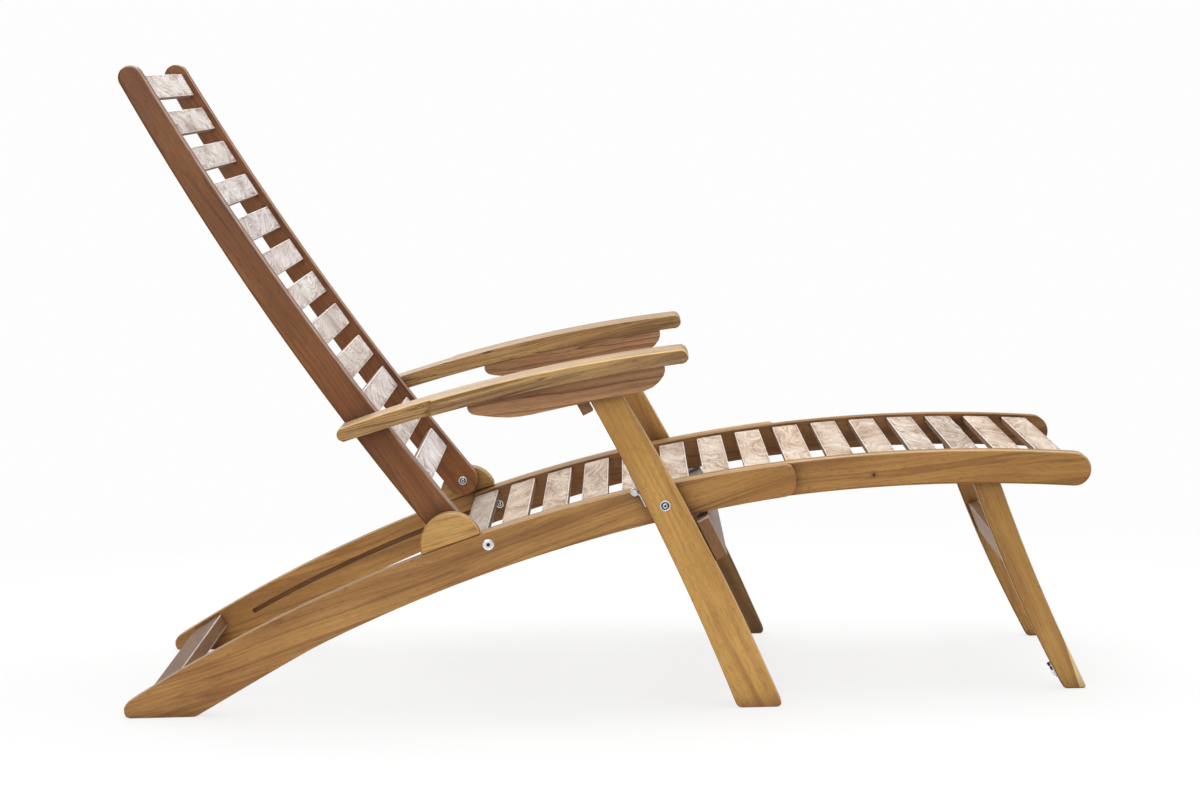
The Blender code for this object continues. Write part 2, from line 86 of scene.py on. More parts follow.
# ------------------------------------------------------------------ materials
class Tree:
    """Small helper that adds and links shader nodes."""

    def __init__(self, name):
        self.mat = bpy.data.materials.new(name)
        self.mat.use_nodes = True
        self.nt = self.mat.node_tree
        self.bsdf = self.nt.nodes["Principled BSDF"]

    def node(self, kind, **props):
        n = self.nt.nodes.new(kind)
        for k, v in props.items():
            setattr(n, k, v)
        return n

    def link(self, a, b):
        self.nt.links.new(a, b)

    def put(self, sock, value):
        if isinstance(value, bpy.types.NodeSocket):
            self.link(value, sock)
        else:
            sock.default_value = value

    def attr(self, name, out="Vector"):
        n = self.node("ShaderNodeAttribute", attribute_name=name)
        return n.outputs[out]

    def math(self, op, a, b=None, clamp=False):
        n = self.node("ShaderNodeMath", operation=op, use_clamp=clamp)
        self.put(n.inputs[0], a)
        if b is not None:
            self.put(n.inputs[1], b)
        return n.outputs[0]

    def vmath(self, op, a, b=None):
        n = self.node("ShaderNodeVectorMath", operation=op)
        self.put(n.inputs[0], a)
        if b is not None:
            self.put(n.inputs[1], b)
        return n.outputs["Value"] if op in ("LENGTH", "DOT_PRODUCT", "DISTANCE") else n.outputs[0]

    def scaled(self, vec, sx, sy, sz):
        return self.vmath("MULTIPLY", vec, (sx, sy, sz))

    def noise(self, vec, scale=1.0, detail=3.0, rough=0.5, distortion=0.0, out="Fac"):
        n = self.node("ShaderNodeTexNoise")
        self.link(vec, n.inputs["Vector"])
        n.inputs["Scale"].default_value = scale
        n.inputs["Detail"].default_value = detail
        n.inputs["Roughness"].default_value = rough
        n.inputs["Distortion"].default_value = distortion
        return n.outputs[out]

    def ramp(self, fac, stops, mode="LINEAR"):
        n = self.node("ShaderNodeValToRGB")
        n.color_ramp.interpolation = mode
        els = n.color_ramp.elements
        while len(els) < len(stops):
            els.new(0.5)
        for e, (p, c) in zip(els, stops):
            e.position = p
            e.color = (*c, 1.0) if isinstance(c, tuple) else (c, c, c, 1.0)
        self.link(fac, n.inputs[0])
        return n.outputs[0]

    def mix(self, fac, a, b, blend="MIX"):
        n = self.node("ShaderNodeMix", data_type="RGBA", blend_type=blend)
        self.put(n.inputs["Factor"], fac)
        self.put(n.inputs[6], a if isinstance(a, bpy.types.NodeSocket) else (*a, 1.0))
        self.put(n.inputs[7], b if isinstance(b, bpy.types.NodeSocket) else (*b, 1.0))
        return n.outputs[2]

    def remap(self, v, a, b, c=0.0, d=1.0, smooth=False):
        n = self.node("ShaderNodeMapRange", clamp=True)
        if smooth:
            n.interpolation_type = "SMOOTHSTEP"
        self.link(v, n.inputs["Value"])
        for k, x in zip(("From Min", "From Max", "To Min", "To Max"), (a, b, c, d)):
            n.inputs[k].default_value = x
        return n.outputs[0]

    def comb(self, x, y, z):
        n = self.node("ShaderNodeCombineXYZ")
        for sock, v in zip(n.inputs, (x, y, z)):
            self.put(sock, v)
        return n.outputs[0]

    def split(self, vec):
        n = self.node("ShaderNodeSeparateXYZ")
        self.link(vec, n.inputs[0])
        return n.outputs

    def occlusion(self, distance):
        n = self.node("ShaderNodeAmbientOcclusion", samples=6)
        n.inputs["Distance"].default_value = distance
        return n.outputs["AO"]

    def bump(self, height, strength, distance, normal=None):
        n = self.node("ShaderNodeBump")
        n.inputs["Strength"].default_value = strength
        n.inputs["Distance"].default_value = distance
        self.link(height, n.inputs["Height"])
        if normal is not None:
            self.link(normal, n.inputs["Normal"])
        return n.outputs[0]


def wood_layers(t, ring=0.0085, warp=0.010, tight=1.0):
    """Masks shared by every timber: rings, streaks, blotches, fibres, pores and knots."""
    g = t.attr("grain")
    w1 = t.noise(t.scaled(g, 1.6, 13.0, 13.0), 1.0, 2.0, 0.5, out="Color")
    w = t.vmath("SUBTRACT", w1, (0.5, 0.5, 0.5))
    w = t.vmath("MULTIPLY", w, (0.0, warp * 5.0, warp * 5.0))
    w2 = t.noise(t.scaled(g, 9.0, 60.0, 60.0), 1.0, 2.0, 0.5, out="Color")
    w2 = t.vmath("MULTIPLY", t.vmath("SUBTRACT", w2, (0.5, 0.5, 0.5)), (0.0, warp * 0.55, warp * 0.55))
    gw = t.vmath("ADD", t.vmath("ADD", g, w), w2)

    # knots: a few cells of a stretched cell pattern
    vor = t.node("ShaderNodeTexVoronoi", feature="F1", distance="EUCLIDEAN")
    t.link(t.scaled(g, 5.0, 13.0, 13.0), vor.inputs["Vector"])
    vor.inputs["Scale"].default_value = 1.0
    vor.inputs["Randomness"].default_value = 1.0
    sep = t.node("ShaderNodeSeparateColor")
    t.link(vor.outputs["Color"], sep.inputs[0])
    keep = t.math("GREATER_THAN", sep.outputs[0], 0.90)
    kd = vor.outputs["Distance"]
    knot = t.math("MULTIPLY", keep, t.remap(kd, 0.035, 0.075, 1.0, 0.0, True))
    halo = t.math("MULTIPLY", keep, t.remap(kd, 0.05, 0.34, 1.0, 0.0, True))

    # growth rings around a pith that lies outside the board
    flat = t.vmath("MULTIPLY", gw, (0.0, 1.0, 1.0))
    r = t.vmath("LENGTH", t.vmath("ADD", flat, (0.0, 0.055, 0.032)))
    r = t.math("ADD", r, t.math("MULTIPLY", halo, ring * 1.5))
    ph = t.math("DIVIDE", r, ring)
    fr = t.math("FRACT", ph)
    late = t.math("MULTIPLY", t.remap(fr, 0.25, 0.93, 0.0, 1.0, True), t.remap(fr, 0.93, 1.0, 1.0, 0.0))
    band = t.noise(t.scaled(flat, 1.0, 1.0, 1.0), 120.0, 1.0, 0.5)
    late = t.math("MULTIPLY", late, t.remap(band, 0.35, 0.65, 0.10, 1.0, True))
    fade = t.noise(t.scaled(g, 2.6, 22.0, 22.0), 1.0, 2.0, 0.5)
    late = t.math("MULTIPLY", late, t.remap(fade, 0.38, 0.62, 0.15, 1.0, True))

    streak = t.noise(t.scaled(gw, 0.9, 75.0 * tight, 75.0 * tight), 1.0, 3.0, 0.55)
    streak = t.remap(streak, 0.52, 0.74, 0.0, 1.0, True)
    wide = t.noise(t.scaled(gw, 0.7, 26.0 * tight, 26.0 * tight), 1.0, 2.0, 0.5)
    wide = t.remap(wide, 0.50, 0.70, 0.0, 1.0, True)
    streak = t.math("MAXIMUM", streak, t.math("MULTIPLY", wide, 0.75))
    pale = t.noise(t.scaled(gw, 1.3, 38.0, 38.0), 1.0, 2.0, 0.5)
    pale = t.remap(pale, 0.52, 0.75, 0.0, 1.0, True)
    blotch = t.noise(t.scaled(g, 5.0, 11.0, 11.0), 1.0, 3.0, 0.6)
    fibre = t.noise(t.scaled(gw, 14.0, 620.0, 620.0), 1.0, 3.0, 0.6)
    pore = t.noise(t.scaled(gw, 55.0, 1150.0, 1150.0), 1.0, 2.0, 0.5)
    pore = t.remap(pore, 0.60, 0.70, 0.0, 1.0, True)
    pore = t.math("MULTIPLY", pore, t.remap(late, 0.0, 1.0, 1.0, 0.45))
    lines = t.noise(t.scaled(gw, 2.4, 300.0, 300.0), 1.0, 2.0, 0.55)
    lines = t.remap(lines, 0.47, 0.68, 0.0, 1.0, True)
    dash = t.noise(t.scaled(gw, 85.0, 430.0, 430.0), 1.0, 2.0, 0.55)
    dash = t.remap(dash, 0.56, 0.70, 0.0, 1.0, True)
    vein = t.noise(t.scaled(gw, 0.60, 58.0 * tight, 58.0 * tight), 1.0, 1.0, 0.4)
    vein = t.math("ABSOLUTE", t.math("SUBTRACT", vein, 0.56))
    vein = t.remap(vein, 0.0, 0.032, 1.0, 0.0, True)
    return dict(lines=lines, dash=dash, vein=vein, g=g, gw=gw, late=late, streak=streak, pale=pale, blotch=blotch,
                fibre=fibre, pore=pore, knot=knot, halo=halo)


# arris is the pale arris colour, a painted highlight on arrises that face the light; edge is the dark arris colour,
# painted shade on those that face away
def oiled(name, light, mid, dark, rough=0.42, arris=(0.80, 0.62, 0.38), arris_highlight_amount=0.62,
          edge=(0.24, 0.105, 0.030), streaks=0.80, rings=0.50, pale_amount=0.40, coat=0.10,
          top_pale=(0.52, 0.38, 0.20), top_amount=0.40, veins=0.45, tight=1.0, sap=None, spot=None):
    t = Tree(name)
    m = wood_layers(t, tight=tight)
    c = t.mix(t.remap(m["blotch"], 0.34, 0.68), mid, light)
    c = t.mix(t.math("MULTIPLY", m["pale"], pale_amount), c, tuple(min(1.0, x * 1.30) for x in light))
    c = t.mix(t.math("MULTIPLY", m["late"], rings), c, dark)
    c = t.mix(t.math("MULTIPLY", m["streak"], streaks), c, dark)
    c = t.mix(t.math("MULTIPLY", m["vein"], veins), c, (dark[0] * 0.86, dark[1] * 0.62, dark[2] * 0.62))
    c = t.mix(t.math("MULTIPLY", m["lines"], 0.32), c, tuple(x * 0.62 for x in mid))
    c = t.mix(t.remap(m["fibre"], 0.30, 0.72, 0.0, 0.28), c, tuple(x * 0.55 for x in mid))
    c = t.mix(t.math("MULTIPLY", m["dash"], 0.34), c, tuple(x * 0.72 for x in dark))
    c = t.mix(t.math("MULTIPLY", m["pore"], 0.34), c, tuple(x * 0.35 for x in dark))
    c = t.mix(t.math("MULTIPLY", m["halo"], 0.35), c, dark)
    c = t.mix(t.math("MULTIPLY", m["knot"], 0.85), c, tuple(x * 0.30 for x in dark))
    if sap or spot:
        px, py, pz = t.split(t.node("ShaderNodeTexCoord").outputs["Object"])
    if sap:
        # a wedge of pale sapwood at the foot: x0 at the sole, lean per metre of height
        side = t.math("ADD", px, t.math("MULTIPLY", pz, sap[1]))
        side = t.math("ADD", side, t.math("MULTIPLY", t.math("SUBTRACT", m["fibre"], 0.5), 0.0022))
        c = t.mix(t.remap(side, sap[0] - 0.011, sap[0], 0.0, 0.45, True), c, dark)
        c = t.mix(t.math("MULTIPLY", t.remap(side, sap[0], sap[0] + 0.0016, 0.0, 1.0, True), 0.92), c, (1.0, 0.74, 0.36))
    if spot:
        # one small dark knot
        off = t.vmath("LENGTH", t.comb(t.math("SUBTRACT", px, spot[0]), 0.0, t.math("SUBTRACT", pz, spot[1])))
        c = t.mix(t.remap(off, spot[2] * 1.0, spot[2] * 3.2, 0.45, 0.0, True), c, dark)
        c = t.mix(t.remap(off, spot[2] * 0.55, spot[2] * 1.15, 0.92, 0.0, True), c, tuple(x * 0.22 for x in dark))
    # faces that look at the sky are made paler, in patches; end grain is darker
    lit = t.attr("lit", "Fac")
    upward_pale = t.noise(t.scaled(m["g"], 9.0, 120.0, 120.0), 1.0, 3.0, 0.6)
    upward_pale = t.math("MULTIPLY", t.attr("skyface", "Fac"), t.remap(upward_pale, 0.30, 0.62, 0.45, 1.0))
    c = t.mix(t.math("MULTIPLY", upward_pale, top_amount), c, top_pale)
    end = t.attr("endgrain", "Fac")
    c = t.mix(t.remap(end, 0.55, 0.95, 0.0, 0.55), c, tuple(x * 0.60 for x in mid))
    # arrises: painted highlight where they face the light, painted shade where they face away, broken up by wear
    # noise
    arris_wear_and_light = t.noise(t.scaled(m["g"], 38.0, 190.0, 190.0), 1.0, 3.0, 0.6)
    arris_wear_and_light = t.math("MULTIPLY", t.attr("arris", "Fac"), t.remap(arris_wear_and_light, 0.25, 0.60, 0.35, 1.0))
    c = t.mix(t.math("MULTIPLY", t.math("MULTIPLY", arris_wear_and_light, lit), arris_highlight_amount), c, arris)
    c = t.mix(t.math("MULTIPLY", t.math("MULTIPLY", arris_wear_and_light, t.math("SUBTRACT", 1.0, lit)), 0.70), c, edge)
    c = t.mix(1.0, c, t.attr("tint"), "MULTIPLY")
    # painted shade: ambient occlusion darkens crevices, joints and faces close to other parts, but not the lit
    # arrises
    ao = t.remap(t.occlusion(0.035), 0.25, 0.88, 0.0, 1.0)
    ao = t.math("MAXIMUM", ao, t.math("MULTIPLY", arris_wear_and_light, lit))
    c = t.mix(ao, t.mix(1.0, c, (0.34, 0.27, 0.22), "MULTIPLY"), c)
    t.link(c, t.bsdf.inputs["Base Color"])
    ro = t.math("ADD", t.remap(m["fibre"], 0.3, 0.7, -0.05, 0.09), t.remap(m["blotch"], 0.3, 0.7, rough - 0.04, rough + 0.06))
    ro = t.math("ADD", ro, t.math("MULTIPLY", m["pore"], 0.10), True)
    t.link(ro, t.bsdf.inputs["Roughness"])
    h = t.math("SUBTRACT", t.math("MULTIPLY", m["fibre"], 0.6), t.math("MULTIPLY", m["pore"], 0.7))
    h = t.math("SUBTRACT", h, t.math("MULTIPLY", m["dash"], 0.5))
    h = t.math("SUBTRACT", h, t.math("MULTIPLY", m["late"], -0.25))
    b1 = t.bump(h, 0.34, 0.00040)
    wav = t.noise(t.scaled(m["g"], 16.0, 30.0, 30.0), 1.0, 1.0, 0.4)
    b2 = t.bump(wav, 0.10, 0.002, b1)
    t.link(b2, t.bsdf.inputs["Normal"])
    rub = t.math("SUBTRACT", 1.0, t.math("MULTIPLY", t.attr("arris", "Fac"), 0.85))
    t.link(t.math("MULTIPLY", rub, coat), t.bsdf.inputs["Coat Weight"])
    t.bsdf.inputs["Coat Roughness"].default_value = 0.34
    t.link(t.math("MULTIPLY", rub, 0.40), t.bsdf.inputs["Specular IOR Level"])
    return t.mat


def whitewashed(name, brown, low, mid, pale, arris, cover=0.92, smudge=0.55):
    """Weathered slat: brown timber under a chalky bloom that follows a swirling figure; arris is a painted highlight
    colour for arrises that face the light.
    """
    t = Tree(name)
    m = wood_layers(t, ring=0.011, warp=0.016)
    g = m["g"]
    gx, gy, gz = t.split(g)
    # the figure: thin lines that follow the contours of a slow field
    f0 = t.noise(t.scaled(g, 6.5, 15.0, 15.0), 1.0, 1.5, 0.5)
    f1 = t.noise(t.scaled(g, 26.0, 44.0, 44.0), 1.0, 2.0, 0.5)
    ang = t.attr("swirl", "Fac")
    ca, sa = t.math("COSINE", ang), t.math("SINE", ang)
    lx = t.math("SUBTRACT", t.math("MULTIPLY", gx, ca), t.math("MULTIPLY", gy, sa))
    ly = t.math("ADD", t.math("MULTIPLY", gx, sa), t.math("MULTIPLY", gy, ca))
    field = t.math("ADD", ly, t.math("MULTIPLY", gz, 0.6))
    field = t.math("ADD", field, t.math("MULTIPLY", t.math("SUBTRACT", f0, 0.5), 0.17))
    field = t.math("ADD", field, t.math("MULTIPLY", t.math("SUBTRACT", f1, 0.5), 0.011))
    fine = t.noise(t.comb(t.math("MULTIPLY", field, 560.0), t.math("MULTIPLY", lx, 13.0), 0.3), 1.0, 3.0, 0.66)
    wide = t.noise(t.comb(t.math("MULTIPLY", field, 150.0), t.math("MULTIPLY", lx, 6.0), 7.7), 1.0, 2.0, 0.55)
    patch = t.noise(t.scaled(g, 9.0, 24.0, 24.0), 1.0, 2.0, 0.5)
    cloud = t.math("ADD", t.math("MULTIPLY", fine, 0.42), t.math("MULTIPLY", wide, 0.30))
    cloud = t.math("ADD", cloud, t.math("MULTIPLY", patch, 0.28))
    fleck = t.noise(t.scaled(g, 260.0, 520.0, 520.0), 1.0, 2.0, 0.6)
    chalk = t.ramp(t.math("ADD", cloud, t.remap(fleck, 0.3, 0.7, -0.035, 0.035)),
                   [(0.37, low), (0.46, mid), (0.53, tuple((x + y) / 2 for x, y in zip(mid, pale))), (0.61, pale)])
    base = t.mix(t.remap(m["blotch"], 0.30, 0.70), tuple(x * 0.72 for x in brown), brown)
    base = t.mix(t.math("MULTIPLY", m["streak"], 0.45), base, tuple(x * 0.46 for x in brown))
    base = t.mix(t.math("MULTIPLY", m["lines"], 0.40), base, tuple(x * 0.62 for x in brown))
    top = t.attr("topface", "Fac")
    edge = t.attr("edgedist", "Fac")
    near = t.noise(t.scaled(g, 30.0, 90.0, 90.0), 1.0, 3.0, 0.6)
    rim = t.math("ADD", edge, t.remap(near, 0.3, 0.7, -0.0035, 0.0045))
    rim = t.remap(rim, 0.0006, 0.0055, 0.50, 1.0, True)
    cov = t.math("MULTIPLY", rim, t.remap(cloud, 0.36, 0.50, 0.78, 1.0))
    cov = t.math("MULTIPLY", cov, t.remap(top, 0.0, 1.0, 0.14, 1.0))
    # brown smudges, mostly towards the ends
    sm = t.noise(t.scaled(g, 24.0, 62.0, 62.0), 1.0, 3.0, 0.6)
    sm = t.math("ADD", sm, t.remap(edge, 0.0, 0.018, 0.075, 0.0))
    sm = t.remap(sm, 0.60, 0.72, 0.0, smudge, True)
    cov = t.math("MULTIPLY", cov, t.math("SUBTRACT", 1.0, sm))
    cov = t.math("MULTIPLY", cov, t.math("SUBTRACT", 1.0, t.math("MULTIPLY", m["knot"], 0.8)))
    c = t.mix(t.math("MULTIPLY", cov, cover), base, chalk)
    c = t.mix(t.remap(m["fibre"], 0.34, 0.70, 0.0, 0.16), c, tuple(x * 0.62 for x in mid))
    c = t.mix(t.math("MULTIPLY", m["pore"], 0.26), c, tuple(x * 0.50 for x in brown))
    c = t.mix(t.math("MULTIPLY", m["knot"], 0.60), c, tuple(x * 0.34 for x in brown))
    # painted highlight: pale arrises where they face the light, broken up by wear noise
    arris_wear_and_light = t.noise(t.scaled(g, 45.0, 160.0, 160.0), 1.0, 3.0, 0.6)
    arris_wear_and_light = t.math("MULTIPLY", t.attr("arris", "Fac"), t.remap(arris_wear_and_light, 0.28, 0.55, 0.45, 1.0))
    arris_wear_and_light = t.math("MULTIPLY", arris_wear_and_light, t.attr("lit", "Fac"))
    c = t.mix(t.math("MULTIPLY", arris_wear_and_light, 0.85), c, arris)
    c = t.mix(1.0, c, t.attr("tint"), "MULTIPLY")
    # painted shade: ambient occlusion darkens crevices and faces close to other parts
    ao = t.remap(t.occlusion(0.025), 0.25, 0.85, 0.0, 1.0)
    c = t.mix(ao, t.mix(1.0, c, (0.40, 0.33, 0.28), "MULTIPLY"), c)
    t.link(c, t.bsdf.inputs["Base Color"])
    ro = t.math("ADD", t.math("MULTIPLY", cov, 0.20), t.remap(m["fibre"], 0.3, 0.7, 0.42, 0.54), True)
    t.link(ro, t.bsdf.inputs["Roughness"])
    h = t.math("SUBTRACT", t.math("MULTIPLY", m["fibre"], 0.6), t.math("MULTIPLY", m["pore"], 0.8))
    h = t.math("ADD", h, t.math("MULTIPLY", fine, 0.5))
    b1 = t.bump(h, 0.36, 0.0004)
    b2 = t.bump(patch, 0.12, 0.002, b1)
    t.link(b2, t.bsdf.inputs["Normal"])
    t.bsdf.inputs["Specular IOR Level"].default_value = 0.35
    return t.mat


def metal(name, colour, rough, dirt=(0.10, 0.09, 0.08), dirt_amount=0.25, metallic=1.0):
    t = Tree(name)
    co = t.node("ShaderNodeTexCoord").outputs["Object"]
    n1 = t.noise(t.scaled(co, 90.0, 90.0, 90.0), 1.0, 3.0, 0.6)
    n2 = t.noise(t.scaled(co, 900.0, 240.0, 900.0), 1.0, 2.0, 0.6)
    n3 = t.noise(t.scaled(co, 420.0, 420.0, 420.0), 1.0, 2.0, 0.6)
    c = t.mix(t.remap(n1, 0.35, 0.65), tuple(x * 0.86 for x in colour), colour)
    c = t.mix(t.remap(n3, 0.60, 0.72, 0.0, dirt_amount), c, dirt)
    ge = t.node("ShaderNodeNewGeometry")
    c = t.mix(t.remap(ge.outputs["Pointiness"], 0.50, 0.56, 0.0, 0.5), c, tuple(min(1.0, x * 1.2) for x in colour))
    t.link(c, t.bsdf.inputs["Base Color"])
    ro = t.math("ADD", t.remap(n1, 0.3, 0.7, rough - 0.05, rough + 0.08), t.remap(n2, 0.3, 0.7, 0.0, 0.07), True)
    t.link(ro, t.bsdf.inputs["Roughness"])
    t.bsdf.inputs["Metallic"].default_value = metallic
    t.link(t.bump(n2, 0.10, 0.00015), t.bsdf.inputs["Normal"])
    return t.mat


M_RAIL = oiled("timber_rail", lin(206, 156, 86), lin(182, 130, 65), lin(122, 74, 38))
M_LEG = oiled("timber_leg", lin(220, 170, 90), lin(197, 146, 72), lin(142, 90, 44), streaks=0.38, rings=0.30,
               veins=0.35, arris=(0.98, 0.72, 0.42), arris_highlight_amount=0.85)
M_SEATRAIL = oiled("timber_seat_rail", lin(206, 156, 86), lin(182, 130, 65), lin(122, 74, 38),
                   spot=(0.4117, 0.3419, 0.0030))
M_SAPLEG = oiled("timber_sap_leg", lin(220, 170, 90), lin(197, 146, 72), lin(142, 90, 44), streaks=0.45, rings=0.30,
                 veins=0.35, arris=(0.98, 0.72, 0.42), arris_highlight_amount=0.85, sap=(0.7246, 0.31))
M_BACK = oiled("timber_back", lin(166, 104, 48), lin(141, 82, 36), lin(96, 50, 24),
               arris=(0.70, 0.56, 0.46), edge=(0.20, 0.080, 0.018), streaks=0.6, pale_amount=0.20,
               top_pale=(0.50, 0.38, 0.30), top_amount=0.45)
M_ARM = oiled("timber_arm", lin(210, 168, 106), lin(190, 145, 86), lin(96, 62, 36),
              arris=(0.86, 0.58, 0.24), arris_highlight_amount=0.85, streaks=1.0, rings=0.75,
              top_pale=(0.50, 0.385, 0.265), top_amount=0.60, veins=1.0, tight=2.2)
M_APRON = oiled("timber_apron", lin(216, 164, 112), lin(190, 138, 88), lin(116, 72, 48), streaks=0.95, veins=0.85, tight=1.5)
M_CHEEK = oiled("timber_cheek", lin(224, 178, 104), lin(204, 155, 84), lin(146, 98, 52),
                streaks=0.50, rings=0.60)
M_DARKBOARD = oiled("timber_stretcher", lin(166, 120, 76), lin(140, 97, 58), lin(92, 57, 34),
                    arris=(0.52, 0.38, 0.26), pale_amount=0.2, top_pale=(0.66, 0.60, 0.56), top_amount=0.75)
M_BACKSLAT = whitewashed("bloom_back", lin(144, 106, 78), lin(150, 130, 119), lin(197, 187, 182), lin(238, 234, 233),
                         (0.86, 0.83, 0.81))
M_SEATSLAT = whitewashed("bloom_seat", lin(138, 100, 68), lin(150, 123, 99), lin(188, 168, 149), lin(230, 219, 207),
                         (0.84, 0.80, 0.75), cover=0.88)
M_OLDSLAT = whitewashed("bloom_low", lin(130, 92, 62), lin(140, 113, 86), lin(172, 150, 124), lin(214, 200, 182),
                        (0.70, 0.62, 0.54), cover=0.80, smudge=0.8)
M_STEEL = metal("bright_steel", (0.97, 0.975, 0.99), 0.16, dirt_amount=0.05, metallic=0.55)
# painted shade: near-black steel for the hex sockets and the groove round the bolt heads
M_RECESS_SHADE = metal("recess_steel", (0.045, 0.05, 0.055), 0.45)
M_STEEL_DOME = metal("dome_steel", (0.30, 0.34, 0.39), 0.24)
M_TIP = metal("dark_tip", (0.022, 0.018, 0.017), 0.55, dirt=(0.08, 0.07, 0.06), metallic=0.0)
M_SCREW = metal("tarnished_screw", (0.30, 0.20, 0.13), 0.40)


# ------------------------------------------------------------------ mesh tools
def link_obj(name, mesh, body, mats):
    ob = bpy.data.objects.new(name, mesh)
    SCENE.collection.objects.link(ob)
    for m in mats:
        mesh.materials.append(m)
    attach(ob, body)
    return ob


def weighted(ob):
    mod = ob.modifiers.new("weighted", "WEIGHTED_NORMAL")
    mod.weight = 90
    mod.keep_sharp = True
    return ob


PIVOTS = []
for nm in NODES:
    if "bolt" in nm or "pin" in nm:
        lo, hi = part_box(nm)
        PIVOTS.append(((lo.x + hi.x) / 2, (lo.z + hi.z) / 2))


def near_pivot(v):
    return any((v.co.x - x) ** 2 + (v.co.z - z) ** 2 < 0.0056 ** 2 for x, z in PIVOTS)


def attributes(me, along, up, centre, name, tint=(1.0, 1.0, 1.0), arris=None, tilt=0.0, top=None, roll=0.0):
    """Grain coordinates and masks: along is the board's length, up its thickness."""
    along = along.normalized()
    up = (up - along * up.dot(along)).normalized()
    side = along.cross(up)
    if tilt:
        rot = Matrix.Rotation(tilt, 3, up)
        along, side = rot @ along, rot @ side
    if roll:
        rot = Matrix.Rotation(roll, 3, along)
        up, side = rot @ up, rot @ side
    s = seed_of(name)
    off = Vector((s * 37.0, 0.03 * math.sin(s * 91.0), 0.03 * math.cos(s * 57.0)))
    n = len(me.vertices)
    data = [0.0] * (3 * n)
    for i, v in enumerate(me.vertices):
        d = v.co - centre
        data[3 * i] = d.dot(along) + off.x
        data[3 * i + 1] = d.dot(side) + off.y
        data[3 * i + 2] = d.dot(up) + off.z
    a = me.attributes.new("grain", "FLOAT_VECTOR", "POINT")
    a.data.foreach_set("vector", data)
    a = me.attributes.new("tint", "FLOAT_VECTOR", "POINT")
    if callable(tint):
        a.data.foreach_set("vector", [x for v in me.vertices for x in tint(v.co)])
    else:
        a.data.foreach_set("vector", list(tint) * n)
    a = me.attributes.new("endgrain", "FLOAT", "FACE")
    a.data.foreach_set("value", [abs(p.normal.dot(along)) for p in me.polygons])
    a = me.attributes.new("arris", "FLOAT", "FACE")
    a.data.foreach_set("value", arris or [0.0] * len(me.polygons))
    # lit: how far a face turns towards LIGHTWARD; it places painted highlights and painted shade on the arrises
    a = me.attributes.new("lit", "FLOAT", "FACE")
    a.data.foreach_set("value", [min(1.0, max(0.0, (p.normal.dot(LIGHTWARD) + 0.02) / 0.34)) for p in me.polygons])
    a = me.attributes.new("skyface", "FLOAT", "FACE")
    a.data.foreach_set("value", [min(1.0, max(0.0, (p.normal.z - 0.22) / 0.45)) for p in me.polygons])
    if top is not None:
        a = me.attributes.new("topface", "FLOAT", "FACE")
        a.data.foreach_set("value", [1.0 if p.normal.dot(top) > 0.35 else 0.0 for p in me.polygons])
    return along, side, up


# direction of the painted light on the arrises
LIGHTWARD = Vector((0.46, 0.0, 0.89)).normalized()


def tint_of(name, spread=0.10, warm=0.05):
    s = seed_of("t" + name)
    k = 1.0 + spread * (s - 0.5) * 2.0
    w = warm * (seed_of("w" + name) - 0.5) * 2.0
    return (k * (1.0 + w), k, k * (1.0 - 1.4 * w))


def board(node, mat, along, up=(0, 1, 0), width=0.0022, segments=3, tint=None, tilt=0.0, roll=0.0,
          round_edges=None, big=0.0):
    """Copies a CAD board, eases its arrises and gives it grain."""
    src = NODES[node]
    bm = bmesh.new()
    bm.from_mesh(src.data)
    bmesh.ops.remove_doubles(bm, verts=bm.verts, dist=4e-6)
    bmesh.ops.dissolve_limit(bm, angle_limit=math.radians(0.3), verts=bm.verts, edges=bm.edges)
    bmesh.ops.recalc_face_normals(bm, faces=bm.faces)

    def sharp(e):
        return (len(e.link_faces) == 2 and e.calc_face_angle(0.0) > math.radians(38)
                and e.is_convex and not (near_pivot(e.verts[0]) and near_pivot(e.verts[1])))

    layer = bm.faces.layers.int.new("edge")
    if round_edges and big:
        edges = [e for e in bm.edges if sharp(e) and round_edges(e)]
        res = bmesh.ops.bevel(bm, geom=edges, offset=big, offset_type="OFFSET", segments=segments + 1,
                              profile=0.5, affect="EDGES", clamp_overlap=True)
        for f in res["faces"]:
            f[layer] = 1
    edges = [e for e in bm.edges if sharp(e)]
    if width > 0 and edges:
        res = bmesh.ops.bevel(bm, geom=edges, offset=width, offset_type="OFFSET", segments=segments,
                              profile=0.5, affect="EDGES", clamp_overlap=True)
        for f in res["faces"]:
            f[layer] = 1
    for f in bm.faces:
        f.smooth = True
    arris = [float(f[layer]) for f in bm.faces]
    me = bpy.data.meshes.new(node + "_shaped")
    bm.to_mesh(me)
    bm.free()
    lo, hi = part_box(node)
    attributes(me, Vector(along), Vector(up), (lo + hi) / 2, node, tint or tint_of(node), arris, tilt, roll=roll)
    ob = link_obj(node + "_timber", me, src["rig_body"], [mat])
    weighted(ob)
    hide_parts(node)
    return ob


